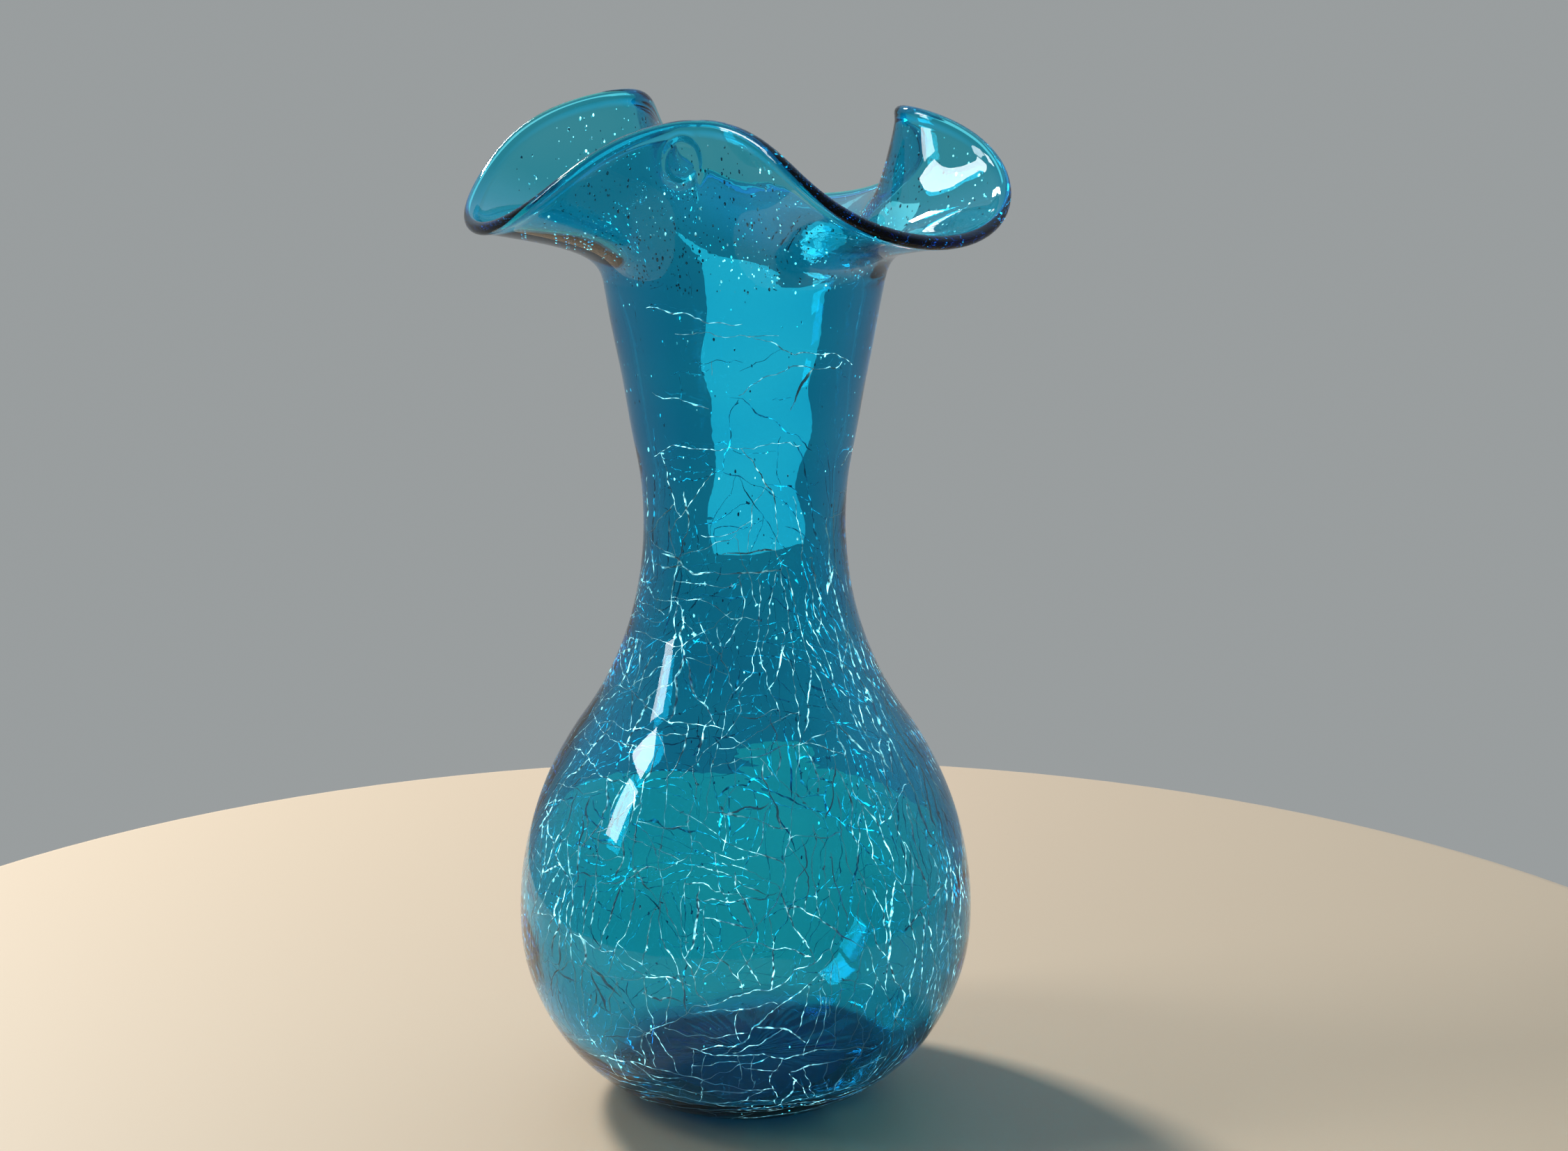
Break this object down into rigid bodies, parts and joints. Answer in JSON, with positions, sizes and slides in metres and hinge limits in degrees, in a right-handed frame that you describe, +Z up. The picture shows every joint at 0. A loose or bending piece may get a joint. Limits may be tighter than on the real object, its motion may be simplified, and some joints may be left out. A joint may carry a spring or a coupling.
{
  "type": "ruffled crackle glass vase",
  "caption": "Free-blown crackle glass vase: round bulb, drawn-in neck and a mouth pulled out into ruffled spouts, its lip melted back into a round roll.",
  "frame": {"origin": "on the vase's axis, in the flat ground foot", "axes": "+Z up along the vase; -Y towards the side with one crest of the mouth squarely in front; +X to the right of it"},
  "size_m": [0.1271, 0.1266, 0.2456],
  "materials": {
    "aqua_glass": "fire-polished aqua glass, crackled all through the bulb and neck, with seeds",
    "core_glass": "fire-polished aqua glass with seeds",
    "base_glass": "thick blue-black glass",
    "mouth_glass": "fire-polished aqua glass with seeds, uncracked",
    "lip_glass": "fire-polished, deep teal to navy where the roll is seen along its length"
  },
  "bodies": {
    "root": {"crackle_casing": "aqua_glass", "core_bubble": "core_glass", "heavy_base_pad": "base_glass", "ruffled_mouth": "mouth_glass", "rolled_lip": "lip_glass"}
  },
  "joints": []
}
